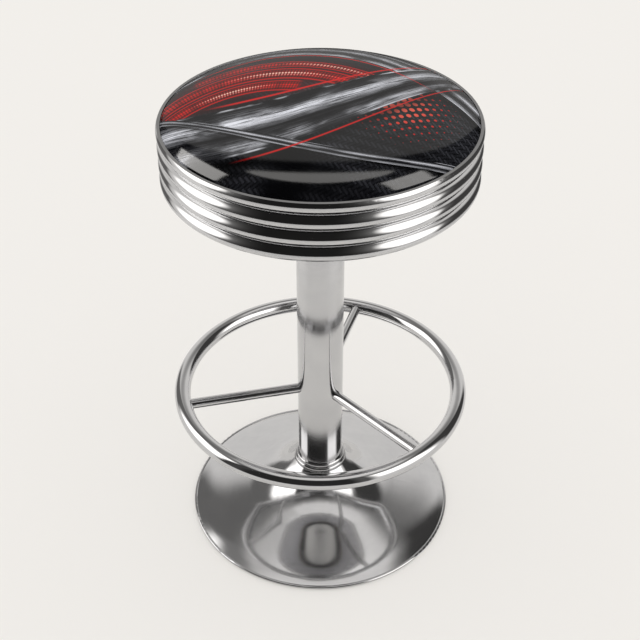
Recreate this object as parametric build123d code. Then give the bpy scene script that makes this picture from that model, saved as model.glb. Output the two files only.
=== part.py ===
"""Swivel bar stool: spun trumpet base, chrome column, welded foot ring, ribbed seat ring and domed cushion.

Millimetres, +Z up. The origin is on the floor, on the stool's turning axis, and -Y is the front.
Every turned piece is drawn as an outline of (radius, height) and revolved about the axis.
"""
from build123d import *
from math import asin, cos, pi, radians, sin, sqrt, tan
import os

# Spun base: flared shell with a rolled rim
BASE_RADIUS = 190.5
BASE_RISE = 80.0
BASE_SHEET = 2.0
NECK_MARGIN = 0.5
NECK_ANGLE = 55.2
NECK_PULL = 47.9
DISH_RADIUS = 111.2
DISH_HEIGHT = 29.5
DISH_ANGLE = 16.3
DISH_PULL_IN = 10.8
DISH_PULL_OUT = 44.7
RIM_ANGLE = 26.6
RIM_PULL = 21.1
RIM_BEAD_RADIUS = 2.5
RIM_SEAM_ANGLE = 128.0
RIM_SEAM_SINK = 0.1
RIM_LIFT = 1.0

# Cast ballast inside the base, and the pads it stands on
WEIGHT_INSET = 18.5
WEIGHT_EDGE = 3.0
WEIGHT_HUB_RADIUS = 45.0
WEIGHT_HUB_HEIGHT = 21.0
WEIGHT_BOSS_RADIUS = 30.0
PAD_COUNT = 6
PAD_RADIUS = 9.0
PAD_HEIGHT = 3.0
PAD_INSET = 14.0

# Draw bolt that clamps ballast, shell and column together
DRAW_BOLT_RADIUS = 8.0
DRAW_BOLT_FLATS = 24.0
DRAW_BOLT_HEAD = 10.0
DRAW_BOLT_RECESS = 3.0
DRAW_WASHER_RADIUS = 15.0
DRAW_WASHER_THICK = 3.0
DRAW_POCKET_RADIUS = 18.0
DRAW_BOLT_ENGAGE = 15.0

# Column with its foot collar and foot plug
COLUMN_RADIUS = 31.75
COLUMN_WALL = 2.0
FOOT_PLUG_LENGTH = 18.0
COLLAR_RADIUS = 37.5
COLLAR_STEP = 2.7
COLLAR_BULGE = 1.2
COLLAR_LOWER = 5.5
COLLAR_UPPER = 5.5
COLLAR_SLIP = 0.15

# Foot ring and its spokes
FOOT_RING_RADIUS = 194.2
FOOT_RING_HEIGHT = 216.0
FOOT_TUBE_RADIUS = 11.1
FOOT_TUBE_WALL = 1.6
SPOKE_RADIUS = 7.0
SPOKE_SIDES = ("left", "right", "rear")
FIRST_SPOKE_ANGLE = 193.0

# Ribbed seat ring and the pan under it
RING_CREST_RADIUS = 199.0
RING_SHEET = 1.2
RIB_COUNT = 4
RIB_PITCH = 20.9
RIB_HALF_ARC = 70.0
LIP_RISE = 5.9
LIP_INSET = 5.5
FLANGE_WIDTH = 14.0
PAN_SHEET = 1.5
PAN_HOLE_RADIUS = 100.0
PAN_PLAY = 0.5

# Swivel: two race plates, a caged ring of balls and a spindle in a bush
PLATE_LIFT = 1.1
PLATE_THICK = 4.0
LOWER_PLATE_RADIUS = 74.0
UPPER_PLATE_RADIUS = 97.0
TRACK_RADIUS = 42.0
BALL_RADIUS = 4.0
BALL_COUNT = 18
BALL_STANDOFF = 2.5
RACE_PLAY = 0.1
CAGE_THICK = 1.5
CAGE_HALF_WIDTH = 7.0
CAGE_PLAY = 0.2
HEAD_PLUG_LENGTH = 26.0
SPINDLE_RADIUS = 9.95
SPINDLE_PLAY = 0.05
SPINDLE_HEAD_FLATS = 30.0
SPINDLE_HEAD = 10.0
SPINDLE_TAIL_RADIUS = 8.0
SPINDLE_TAIL = 5.0
BUSH_WALL = 3.0
BUSH_FLANGE_RADIUS = 18.0
BUSH_FLANGE = 4.0
THRUST_PLAY = 0.3
SPINDLE_WASHER_RADIUS = 17.0
SPINDLE_WASHER_THICK = 2.5
SPINDLE_NUT_FLATS = 24.0
SPINDLE_NUT = 14.0

# Seat board, bolts into tee nuts, and the screws that hold the pan
BOARD_THICK = 18.0
BOARD_HOLE_PLAY = 3.0
SEAT_BOLT_COUNT = 4
SEAT_BOLT_CIRCLE = 84.0
SEAT_BOLT_RADIUS = 4.0
SEAT_BOLT_FLATS = 13.0
SEAT_BOLT_HEAD = 5.3
BOLT_HOLE_PLAY = 0.5
BOLT_WASHER_RADIUS = 8.0
BOLT_WASHER_THICK = 1.6
TEE_NUT_WALL = 1.2
TEE_NUT_FLANGE_RADIUS = 10.0
TEE_NUT_FLANGE = 1.5
TEE_NUT_LENGTH = 13.0
PAN_SCREW_COUNT = 4
PAN_SCREW_INSET = 18.0
PAN_SCREW_RADIUS = 3.0
PAN_SCREW_HEAD_RADIUS = 5.5
PAN_SCREW_HEAD = 2.4
PAN_SCREW_ENGAGE = 13.0
SPACER_WALL = 3.5

# Domed cushion: foam under a vinyl cover that is drawn in and hemmed under the board
CROWN_HEIGHT = 684.5
CROWN_CURVE_RADIUS = 426.0
TUCK_SINK = 3.4
TUCK_RADIUS = 7.0
TUCK_DRAW = 10.0
COVER_THICK = 1.2
COVER_HEM = 22.0
COVER_PLAY = 0.4

# Shared clearances
SEAT_GAP = 0.05
WELD_GAP = 0.05
SOFT_GAP = 0.3

# Levels and radii that several pieces share
NECK_RADIUS = COLLAR_RADIUS + NECK_MARGIN
COLUMN_BORE = COLUMN_RADIUS - COLUMN_WALL
WEIGHT_RADIUS = BASE_RADIUS - WEIGHT_INSET
BOSS_TOP = BASE_RISE - BASE_SHEET
DRAW_HOLE_RADIUS = DRAW_BOLT_RADIUS + BOLT_HOLE_PLAY
DRAW_SEAT = PAD_HEIGHT + DRAW_BOLT_RECESS + DRAW_BOLT_HEAD + DRAW_WASHER_THICK
LIP_RADIUS = RING_CREST_RADIUS - LIP_INSET
COVER_BULGE_RADIUS = LIP_RADIUS - COVER_PLAY
TUCK_CENTRE_RADIUS = COVER_BULGE_RADIUS - TUCK_RADIUS
CROWN_DROP = CROWN_CURVE_RADIUS - sqrt((CROWN_CURVE_RADIUS - TUCK_RADIUS) ** 2 - TUCK_CENTRE_RADIUS**2)
TUCK_LEVEL = CROWN_HEIGHT - CROWN_DROP
LIP_TOP = TUCK_LEVEL + TUCK_SINK
RIB_CENTRES = [LIP_TOP - LIP_RISE - RIB_PITCH * (RIB_COUNT - 1 - rib) for rib in range(RIB_COUNT)]
RING_BOTTOM = RIB_CENTRES[0] - RIB_PITCH / 2
PAN_BOTTOM = RING_BOTTOM + RING_SHEET
PAN_TOP = PAN_BOTTOM + PAN_SHEET
COLUMN_TOP = PAN_TOP + PLATE_LIFT
LOWER_PLATE_TOP = COLUMN_TOP + PLATE_THICK
BALL_LEVEL = LOWER_PLATE_TOP + BALL_STANDOFF
UPPER_PLATE_BOTTOM = BALL_LEVEL + BALL_STANDOFF
BOARD_BOTTOM = UPPER_PLATE_BOTTOM + PLATE_THICK
BOARD_TOP = BOARD_BOTTOM + BOARD_THICK
HEAD_PLUG_BOTTOM = COLUMN_TOP - HEAD_PLUG_LENGTH
BUSH_BOTTOM = HEAD_PLUG_BOTTOM - BUSH_FLANGE
BUSH_BORE = SPINDLE_RADIUS + SPINDLE_PLAY
BUSH_RADIUS = BUSH_BORE + BUSH_WALL
BUSH_SEAT_RADIUS = BUSH_RADIUS + SEAT_GAP
SPINDLE_SHOULDER = BUSH_BOTTOM - THRUST_PLAY
NUT_TOP = SPINDLE_SHOULDER - SPINDLE_WASHER_THICK
RIB_RADIUS = RIB_PITCH / 2 / sin(radians(RIB_HALF_ARC))
RIB_CENTRE_RADIUS = RING_CREST_RADIUS - RIB_RADIUS
GROOVE_RADIUS = RIB_CENTRE_RADIUS + RIB_RADIUS * cos(radians(RIB_HALF_ARC))
COVER_SIDE_RADIUS = GROOVE_RADIUS - RING_SHEET - COVER_PLAY
PAN_SCREW_CIRCLE = COVER_SIDE_RADIUS - COVER_HEM - PAN_SCREW_INSET
BOARD_RADIUS = COVER_SIDE_RADIUS - COVER_THICK - SOFT_GAP
TEE_NUT_BORE = SEAT_BOLT_RADIUS + SEAT_GAP
TEE_NUT_RADIUS = TEE_NUT_BORE + TEE_NUT_WALL
SPACER_BORE = PAN_SCREW_RADIUS + BOLT_HOLE_PLAY
FASTENER_START_ANGLE = FIRST_SPOKE_ANGLE - 180.0


def turned(*outline):
    """Solid revolved about the axis from a closed outline of (radius, height) edges."""
    return revolve(Plane.XZ * make_face(outline), Axis.Z)


def tube(outer, inner, low, high):
    """Round tube about the axis between two heights."""
    return turned(Polyline((inner, low), (outer, low), (outer, high), (inner, high), close=True))


def disc(radius, low, high):
    """Round disc about the axis between two heights."""
    return turned(Polyline((0, low), (radius, low), (radius, high), (0, high), close=True))


def hexagon(flats, low, high):
    """Hexagonal prism about the axis between two heights."""
    return Pos(0, 0, low) * extrude(RegularPolygon(flats / 2, 6, major_radius=False), high - low)


def around(piece, count, circle, start=0.0):
    """Copies of one piece, evenly spaced on a circle about the axis."""
    places = [Rot(0, 0, start + 360.0 * step / count) * Pos(circle, 0, 0) for step in range(count)]
    return [place * piece for place in places]


def cut_all(body, tools):
    """One piece with each of a list of tools cut out of it."""
    for tool in tools:
        body = body - tool
    return body


def step_from(point, angle, length):
    """Point reached from another along a line that falls outward at an angle."""
    return (point[0] + length * cos(radians(angle)), point[1] - length * sin(radians(angle)))


def sink_from(point, angle, depth):
    """Point under a surface that falls outward at an angle, measured square to it."""
    return (point[0] - depth * sin(radians(angle)), point[1] - depth * cos(radians(angle)))


def pulled_curve(start, start_angle, start_pull, end, end_angle, end_pull):
    """Smooth curve between two points that leaves and arrives at given falls."""
    return Bezier(
        start,
        step_from(start, start_angle, start_pull),
        step_from(end, end_angle, -end_pull),
        end,
    )


def base_shell():
    """Spun trumpet base: flat top under the column, flared neck, shallow dish and a rolled rim."""
    bead_radius = BASE_RADIUS - RIM_BEAD_RADIUS
    bead_height = RIM_LIFT + RIM_BEAD_RADIUS
    seam = RIM_BEAD_RADIUS - RIM_SEAM_SINK
    rim = (
        bead_radius + seam * cos(radians(RIM_SEAM_ANGLE)),
        bead_height + seam * sin(radians(RIM_SEAM_ANGLE)),
    )
    dish = (DISH_RADIUS, DISH_HEIGHT)
    neck = (NECK_RADIUS, BASE_RISE)
    neck_in = (NECK_RADIUS - BASE_SHEET * tan(radians(NECK_ANGLE / 2)), BOSS_TOP)
    dish_in = sink_from(dish, DISH_ANGLE, BASE_SHEET)
    rim_in = sink_from(rim, RIM_ANGLE, BASE_SHEET)
    skin = turned(
        Line((DRAW_HOLE_RADIUS, BASE_RISE), neck),
        pulled_curve(neck, NECK_ANGLE, NECK_PULL, dish, DISH_ANGLE, DISH_PULL_IN),
        pulled_curve(dish, DISH_ANGLE, DISH_PULL_OUT, rim, RIM_ANGLE, RIM_PULL),
        Line(rim, rim_in),
        pulled_curve(dish_in, DISH_ANGLE, DISH_PULL_OUT, rim_in, RIM_ANGLE, RIM_PULL),
        pulled_curve(neck_in, NECK_ANGLE, NECK_PULL, dish_in, DISH_ANGLE, DISH_PULL_IN),
        Line(neck_in, (DRAW_HOLE_RADIUS, BOSS_TOP)),
        Line((DRAW_HOLE_RADIUS, BOSS_TOP), (DRAW_HOLE_RADIUS, BASE_RISE)),
    )
    return skin + Pos(0, 0, bead_height) * Torus(bead_radius, RIM_BEAD_RADIUS)


def base_weight():
    """Cast ballast: low cone, tall boss under the shell's top, pocket for the bolt head."""
    edge_top = PAD_HEIGHT + WEIGHT_EDGE
    hub_top = PAD_HEIGHT + WEIGHT_HUB_HEIGHT
    return turned(
        Polyline(
            (DRAW_POCKET_RADIUS, PAD_HEIGHT),
            (WEIGHT_RADIUS, PAD_HEIGHT),
            (WEIGHT_RADIUS, edge_top),
            (WEIGHT_HUB_RADIUS, hub_top),
            (WEIGHT_BOSS_RADIUS, hub_top),
            (WEIGHT_BOSS_RADIUS, BOSS_TOP),
            (DRAW_HOLE_RADIUS, BOSS_TOP),
            (DRAW_HOLE_RADIUS, DRAW_SEAT),
            (DRAW_POCKET_RADIUS, DRAW_SEAT),
            close=True,
        )
    )


def floor_pads():
    """Rubber pads under the ballast."""
    return around(disc(PAD_RADIUS, 0, PAD_HEIGHT), PAD_COUNT, WEIGHT_RADIUS - PAD_INSET)


def draw_washer():
    """Washer between the bolt head and the ballast."""
    return tube(DRAW_WASHER_RADIUS, DRAW_HOLE_RADIUS, DRAW_SEAT - DRAW_WASHER_THICK, DRAW_SEAT)


def draw_bolt():
    """Hexagon bolt from under the ballast up into the column's foot plug."""
    head_top = DRAW_SEAT - DRAW_WASHER_THICK
    shank = disc(DRAW_BOLT_RADIUS, head_top, BASE_RISE + DRAW_BOLT_ENGAGE)
    return hexagon(DRAW_BOLT_FLATS, head_top - DRAW_BOLT_HEAD, head_top) + shank


def column_foot_plug():
    """Plug in the column's foot with the tapped hole for the draw bolt."""
    return tube(
        COLUMN_BORE - SEAT_GAP,
        DRAW_BOLT_RADIUS + SEAT_GAP,
        BASE_RISE,
        BASE_RISE + FOOT_PLUG_LENGTH,
    )


def column_tube():
    """Column tube that stands on the shell's flat top."""
    return tube(COLUMN_RADIUS, COLUMN_BORE, BASE_RISE, COLUMN_TOP)


def column_collar():
    """Stepped trim collar with two rounded rings round the column's foot."""
    bore = COLUMN_RADIUS + COLLAR_SLIP
    lower = COLLAR_RADIUS - COLLAR_BULGE
    upper = lower - COLLAR_STEP
    step_height = BASE_RISE + COLLAR_LOWER
    top = step_height + COLLAR_UPPER
    return turned(
        Line((bore, BASE_RISE), (lower, BASE_RISE)),
        ThreePointArc(
            (lower, BASE_RISE),
            (COLLAR_RADIUS, BASE_RISE + COLLAR_LOWER / 2),
            (lower, step_height),
        ),
        Line((lower, step_height), (upper, step_height)),
        ThreePointArc(
            (upper, step_height),
            (upper + COLLAR_BULGE, step_height + COLLAR_UPPER / 2),
            (upper, top),
        ),
        Polyline((upper, top), (bore, top), (bore, BASE_RISE)),
    )


def foot_ring():
    """Closed ring of round tube."""
    outside = Torus(FOOT_RING_RADIUS, FOOT_TUBE_RADIUS)
    inside = Torus(FOOT_RING_RADIUS, FOOT_TUBE_RADIUS - FOOT_TUBE_WALL)
    return Pos(0, 0, FOOT_RING_HEIGHT) * (outside - inside)


def foot_spoke(angle):
    """Round bar from column to foot ring, with its ends shaped to both for welding."""
    reach = Pos(FOOT_RING_RADIUS / 2, 0, FOOT_RING_HEIGHT) * Rot(0, 90, 0)
    bar = reach * Cylinder(SPOKE_RADIUS, FOOT_RING_RADIUS)
    column = disc(COLUMN_RADIUS + WELD_GAP, BASE_RISE, COLUMN_TOP)
    ring = Pos(0, 0, FOOT_RING_HEIGHT) * Torus(FOOT_RING_RADIUS, FOOT_TUBE_RADIUS + WELD_GAP)
    return Rot(0, 0, angle) * (bar - column - ring)


def column_head_plug():
    """Plug in the column's head that holds the bush."""
    return tube(COLUMN_BORE - SEAT_GAP, BUSH_SEAT_RADIUS, HEAD_PLUG_BOTTOM, COLUMN_TOP)


def spindle_bush():
    """Flanged bush in the head plug and lower plate, in which the spindle turns."""
    return turned(
        Polyline(
            (BUSH_BORE, BUSH_BOTTOM),
            (BUSH_FLANGE_RADIUS, BUSH_BOTTOM),
            (BUSH_FLANGE_RADIUS, HEAD_PLUG_BOTTOM),
            (BUSH_RADIUS, HEAD_PLUG_BOTTOM),
            (BUSH_RADIUS, LOWER_PLATE_TOP),
            (BUSH_BORE, LOWER_PLATE_TOP),
            close=True,
        )
    )


def race_groove():
    """Round track in which the balls run, cut from both plates."""
    return Pos(0, 0, BALL_LEVEL) * Torus(TRACK_RADIUS, BALL_RADIUS + RACE_PLAY)


def swivel_lower_plate():
    """Plate welded on the column's head, with the lower ball race."""
    return tube(LOWER_PLATE_RADIUS, BUSH_SEAT_RADIUS, COLUMN_TOP, LOWER_PLATE_TOP) - race_groove()


def swivel_balls():
    """Ring of bearing balls."""
    return around(Pos(0, 0, BALL_LEVEL) * Sphere(BALL_RADIUS), BALL_COUNT, TRACK_RADIUS)


def ball_cage():
    """Flat ring with a pocket for each ball."""
    low = BALL_LEVEL - CAGE_THICK / 2
    high = BALL_LEVEL + CAGE_THICK / 2
    band = tube(TRACK_RADIUS + CAGE_HALF_WIDTH, TRACK_RADIUS - CAGE_HALF_WIDTH, low, high)
    pocket = disc(BALL_RADIUS + CAGE_PLAY, low, high)
    return cut_all(band, around(pocket, BALL_COUNT, TRACK_RADIUS))


def swivel_upper_plate():
    """Plate under the seat board, with the upper ball race and the bolt holes."""
    bore = SPINDLE_RADIUS + SEAT_GAP
    plate = tube(UPPER_PLATE_RADIUS, bore, UPPER_PLATE_BOTTOM, BOARD_BOTTOM) - race_groove()
    hole = disc(SEAT_BOLT_RADIUS + BOLT_HOLE_PLAY, UPPER_PLATE_BOTTOM, BOARD_BOTTOM)
    return cut_all(plate, around(hole, SEAT_BOLT_COUNT, SEAT_BOLT_CIRCLE, FASTENER_START_ANGLE))


def swivel_spindle():
    """Shouldered spindle with its head on the upper plate and a threaded tail."""
    tail_end = NUT_TOP - SPINDLE_NUT - SPINDLE_TAIL
    head = hexagon(SPINDLE_HEAD_FLATS, BOARD_BOTTOM, BOARD_BOTTOM + SPINDLE_HEAD)
    journal = disc(SPINDLE_RADIUS, SPINDLE_SHOULDER, BOARD_BOTTOM)
    return head + journal + disc(SPINDLE_TAIL_RADIUS, tail_end, SPINDLE_SHOULDER)


def spindle_washer():
    """Thrust washer under the bush."""
    return tube(SPINDLE_WASHER_RADIUS, SPINDLE_TAIL_RADIUS + SEAT_GAP, NUT_TOP, SPINDLE_SHOULDER)


def spindle_nut():
    """Lock nut on the spindle's tail."""
    bore = disc(SPINDLE_TAIL_RADIUS + SEAT_GAP, NUT_TOP - SPINDLE_NUT, NUT_TOP)
    return hexagon(SPINDLE_NUT_FLATS, NUT_TOP - SPINDLE_NUT, NUT_TOP) - bore


def seat_bolts():
    """Bolts from the upper plate into the board's tee nuts."""
    head_top = UPPER_PLATE_BOTTOM - BOLT_WASHER_THICK
    shank = disc(SEAT_BOLT_RADIUS, head_top, BOARD_TOP - TEE_NUT_FLANGE)
    bolt = hexagon(SEAT_BOLT_FLATS, head_top - SEAT_BOLT_HEAD, head_top) + shank
    return around(bolt, SEAT_BOLT_COUNT, SEAT_BOLT_CIRCLE, FASTENER_START_ANGLE)


def bolt_washers():
    """Washers under the seat bolts' heads."""
    low = UPPER_PLATE_BOTTOM - BOLT_WASHER_THICK
    washer = tube(BOLT_WASHER_RADIUS, SEAT_BOLT_RADIUS + SEAT_GAP, low, UPPER_PLATE_BOTTOM)
    return around(washer, SEAT_BOLT_COUNT, SEAT_BOLT_CIRCLE, FASTENER_START_ANGLE)


def tee_nuts():
    """Tee nuts let into the top of the board."""
    flange = tube(TEE_NUT_FLANGE_RADIUS, TEE_NUT_BORE, BOARD_TOP - TEE_NUT_FLANGE, BOARD_TOP)
    barrel = tube(TEE_NUT_RADIUS, TEE_NUT_BORE, BOARD_TOP - TEE_NUT_LENGTH, BOARD_TOP - TEE_NUT_FLANGE)
    return around(flange + barrel, SEAT_BOLT_COUNT, SEAT_BOLT_CIRCLE, FASTENER_START_ANGLE)


def seat_board():
    """Round plywood board with holes for the spindle's head, the tee nuts and the pan screws."""
    board = disc(BOARD_RADIUS, BOARD_BOTTOM, BOARD_TOP)
    head_corner = SPINDLE_HEAD_FLATS / 2 / cos(pi / 6)
    centre = disc(head_corner + BOARD_HOLE_PLAY, BOARD_BOTTOM, BOARD_TOP)
    barrel = disc(TEE_NUT_RADIUS + SEAT_GAP, BOARD_BOTTOM, BOARD_TOP)
    flange = disc(TEE_NUT_FLANGE_RADIUS + SEAT_GAP, BOARD_TOP - TEE_NUT_FLANGE, BOARD_TOP)
    pilot = disc(PAN_SCREW_RADIUS + SEAT_GAP, BOARD_BOTTOM, BOARD_BOTTOM + PAN_SCREW_ENGAGE)
    holes = around(barrel + flange, SEAT_BOLT_COUNT, SEAT_BOLT_CIRCLE, FASTENER_START_ANGLE)
    return cut_all(board - centre, holes + on_pan_circle(pilot))


def on_pan_circle(piece):
    """Copies at the pan screws, midway between the seat bolts."""
    start = FASTENER_START_ANGLE + 180.0 / PAN_SCREW_COUNT
    return around(piece, PAN_SCREW_COUNT, PAN_SCREW_CIRCLE, start)


def pan_spacers():
    """Spacer tubes between pan and board."""
    return on_pan_circle(tube(SPACER_BORE + SPACER_WALL, SPACER_BORE, PAN_TOP, BOARD_BOTTOM))


def pan_screws():
    """Low round-headed screws through pan and spacers into the board."""
    rise = PAN_SCREW_HEAD
    base = PAN_SCREW_HEAD_RADIUS
    dome = (base * base + rise * rise) / (2 * rise)
    face = PAN_BOTTOM - rise
    mid_radius = base / 2
    mid_height = face + dome - sqrt(dome * dome - mid_radius * mid_radius)
    head = turned(
        ThreePointArc((0, face), (mid_radius, mid_height), (base, PAN_BOTTOM)),
        Polyline((base, PAN_BOTTOM), (0, PAN_BOTTOM), (0, face)),
    )
    return on_pan_circle(head + disc(PAN_SCREW_RADIUS, PAN_BOTTOM, BOARD_BOTTOM + PAN_SCREW_ENGAGE))


def seat_pan():
    """Sheet pan that closes the ring's underside round the swivel."""
    pan = tube(GROOVE_RADIUS - RING_SHEET - PAN_PLAY, PAN_HOLE_RADIUS, PAN_BOTTOM, PAN_TOP)
    return cut_all(pan, on_pan_circle(disc(SPACER_BORE, PAN_BOTTOM, PAN_TOP)))


def rib_point(rib, radius, rise):
    """Point on a rib's arc of a given radius, at a height above the rib's centre."""
    return (RIB_CENTRE_RADIUS + sqrt(radius * radius - rise * rise), RIB_CENTRES[rib] + rise)


def seat_ring():
    """Roll-formed ring: stacked round ribs, narrow top lip, turned-in bottom flange.

    The outer arcs meet in sharp grooves and the inner arcs follow them at the sheet's thickness.
    """
    top = RIB_COUNT - 1
    half = RIB_PITCH / 2
    inner = RIB_RADIUS - RING_SHEET
    inner_half = inner * sin(radians(RIB_HALF_ARC))
    edges = []
    for rib in range(RIB_COUNT):
        outer_rise = LIP_RISE if rib == top else half
        low = rib_point(rib, RIB_RADIUS, -half)
        crest = rib_point(rib, RIB_RADIUS, 0)
        high = rib_point(rib, RIB_RADIUS, outer_rise)
        edges.append(ThreePointArc(low, crest, high))
        inner_low = RING_SHEET - half if rib == 0 else -inner_half
        inner_high = LIP_RISE - RING_SHEET if rib == top else inner_half
        low_in = rib_point(rib, inner, inner_low)
        high_in = rib_point(rib, inner, inner_high)
        edges.append(ThreePointArc(low_in, rib_point(rib, inner, 0), high_in))
        if rib < top:
            groove = (GROOVE_RADIUS - RING_SHEET, RIB_CENTRES[rib] + half)
            edges.append(ThreePointArc(high_in, groove, rib_point(rib + 1, inner, -inner_half)))
    flange = GROOVE_RADIUS - FLANGE_WIDTH
    bottom = rib_point(0, RIB_RADIUS, -half)
    bottom_in = rib_point(0, inner, RING_SHEET - half)
    lip = rib_point(top, RIB_RADIUS, LIP_RISE)
    lip_in = rib_point(top, inner, LIP_RISE - RING_SHEET)
    edges.append(Polyline(bottom_in, (flange, PAN_BOTTOM), (flange, RING_BOTTOM), bottom))
    edges.append(Polyline(lip, (LIP_RADIUS, LIP_TOP), (LIP_RADIUS, LIP_TOP - RING_SHEET), lip_in))
    return turned(*edges)


def cushion_outline(inset, bottom):
    """Cushion outline at a depth under the cover's face: crown, tuck at the lip, drawn-in side.

    Returns the edges from the axis to the foot of the side, and that last point.
    """
    crown_centre = CROWN_HEIGHT - CROWN_CURVE_RADIUS
    tilt = asin(TUCK_CENTRE_RADIUS / (CROWN_CURVE_RADIUS - TUCK_RADIUS))
    crown = CROWN_CURVE_RADIUS - inset
    tuck = TUCK_RADIUS - inset

    def on_crown(angle):
        return (crown * sin(angle), crown_centre + crown * cos(angle))

    def on_tuck(angle):
        return (TUCK_CENTRE_RADIUS + tuck * sin(angle), TUCK_LEVEL + tuck * cos(angle))

    bulge = on_tuck(pi / 2)
    waist = (COVER_SIDE_RADIUS - inset, TUCK_LEVEL - TUCK_DRAW)
    foot = (COVER_SIDE_RADIUS - inset, bottom)
    edges = [
        ThreePointArc(on_crown(0), on_crown(tilt / 2), on_crown(tilt)),
        ThreePointArc(on_tuck(tilt), on_tuck((tilt + pi / 2) / 2), bulge),
        Polyline(bulge, waist, foot),
    ]
    return edges, foot


def seat_foam():
    """Domed foam pad on the board."""
    bottom = BOARD_TOP + SOFT_GAP
    edges, foot = cushion_outline(COVER_THICK + SOFT_GAP, bottom)
    crown = CROWN_HEIGHT - COVER_THICK - SOFT_GAP
    return turned(*edges, Polyline(foot, (0, bottom), (0, crown)))


def seat_cover():
    """Vinyl cover: domed skin over the foam, drawn in behind the ring and hemmed under the board."""
    hem_top = BOARD_BOTTOM - SOFT_GAP
    hem_bottom = hem_top - COVER_THICK
    outside, foot = cushion_outline(0, hem_bottom)
    inside, foot_in = cushion_outline(COVER_THICK, hem_top)
    hem = COVER_SIDE_RADIUS - COVER_HEM
    return turned(
        *outside,
        Polyline(foot, (hem, hem_bottom), (hem, hem_top), foot_in),
        *inside,
        Line((0, CROWN_HEIGHT - COVER_THICK), (0, CROWN_HEIGHT)),
    )


def build():
    """Every piece of the stool by its node name; a list is a group of like pieces."""
    nodes = {
        "base_shell": base_shell(),
        "base_weight": base_weight(),
        "floor_pads": floor_pads(),
        "draw_bolt": draw_bolt(),
        "draw_washer": draw_washer(),
        "column_foot_plug": column_foot_plug(),
        "column_tube": column_tube(),
        "column_collar": column_collar(),
        "foot_ring": foot_ring(),
        "column_head_plug": column_head_plug(),
        "spindle_bush": spindle_bush(),
        "swivel_lower_plate": swivel_lower_plate(),
        "swivel_balls": swivel_balls(),
        "ball_cage": ball_cage(),
        "swivel_upper_plate": swivel_upper_plate(),
        "swivel_spindle": swivel_spindle(),
        "spindle_washer": spindle_washer(),
        "spindle_nut": spindle_nut(),
        "seat_bolts": seat_bolts(),
        "bolt_washers": bolt_washers(),
        "tee_nuts": tee_nuts(),
        "seat_board": seat_board(),
        "pan_spacers": pan_spacers(),
        "pan_screws": pan_screws(),
        "seat_pan": seat_pan(),
        "seat_ring": seat_ring(),
        "seat_foam": seat_foam(),
        "seat_cover": seat_cover(),
    }
    for turn, side in enumerate(SPOKE_SIDES):
        nodes["foot_spoke_" + side] = foot_spoke(FIRST_SPOKE_ANGLE + 360.0 * turn / len(SPOKE_SIDES))
    return nodes


os.makedirs("parts", exist_ok=True)
for name, piece in build().items():
    solid = Compound(children=piece) if isinstance(piece, list) else piece
    export_step(solid, os.path.join("parts", name + ".step"))
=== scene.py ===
"""Looks of the swivel bar stool: metal finishes, printed cushion, studio floor, light and camera.

Metres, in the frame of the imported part: +Z up, origin on the floor on the turning axis, -Y to the front.
Directions are a turn from the front to the right and a rise above level, both in degrees.
"""
import math

import bpy
import numpy as np
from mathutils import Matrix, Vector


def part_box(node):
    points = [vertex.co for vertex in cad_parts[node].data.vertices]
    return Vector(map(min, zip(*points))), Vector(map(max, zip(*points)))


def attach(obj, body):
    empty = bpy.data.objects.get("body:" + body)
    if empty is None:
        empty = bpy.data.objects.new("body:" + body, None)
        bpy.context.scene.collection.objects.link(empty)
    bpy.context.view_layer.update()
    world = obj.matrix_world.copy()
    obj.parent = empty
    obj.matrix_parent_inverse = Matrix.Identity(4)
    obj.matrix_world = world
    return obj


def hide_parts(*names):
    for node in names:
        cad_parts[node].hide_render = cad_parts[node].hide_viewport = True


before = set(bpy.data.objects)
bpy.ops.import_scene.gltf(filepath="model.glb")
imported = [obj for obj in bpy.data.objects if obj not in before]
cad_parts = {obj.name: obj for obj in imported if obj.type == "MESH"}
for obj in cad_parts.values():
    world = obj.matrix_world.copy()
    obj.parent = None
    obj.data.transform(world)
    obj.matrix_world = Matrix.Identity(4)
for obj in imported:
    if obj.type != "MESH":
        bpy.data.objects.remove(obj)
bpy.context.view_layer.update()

DEGREES = 180.0 / math.pi

# Camera of the photograph
CAMERA_PLACE = (0.0, -1.31724, 1.32920)
CAMERA_FALL = 37.16
CAMERA_FOCUS = 1215.0
FRAME_WIDTH = 640.0
SENSOR_WIDTH = 36.0
AXIS_SHIFT = 0.35

# Pale studio: tones, and levels for the rays that matt and shiny surfaces send out
FLOOR_TONE = (0.90, 0.875, 0.838)
FLOOR_MOTTLE = 0.995
FLOOR_SIZE = 60.0
FLOOR_MIRROR_FADE = (0.465, 0.775)
SHADOW_FILL = 0.45
BACKGROUND_TONE = (0.886, 0.862, 0.823)
WARM_TINT = (1.0, 0.977, 0.948)
DOME_LEVEL = 0.99
DARK_ROOM = 0.012
HORIZON = (-33.0, -22.0)
MIRRORED_FLOOR = 0.78
SOFTBOX_ON_FLOOR = 0.18
LIT_FLOOR_TURNS = ((42.0, 100.0), (-128.0, -72.0))
LIT_FLOOR_SOFT = 18.0

# Lamps that the seat mirrors
SEAT_LEVEL = 0.66
LAMP_DISTANCE = 20.0
LEFT_STRIP = ((-133.0, 31.0), (-115.0, 56.0), (-100.0, 47.0), (-119.0, 27.0))
RIGHT_STRIP = ((106.0, 69.0), (119.0, 52.0), (101.0, 41.0), (86.0, 60.0))
LEFT_STRIP_LEVEL = 5.4
RIGHT_STRIP_LEVEL = 4.6
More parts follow.
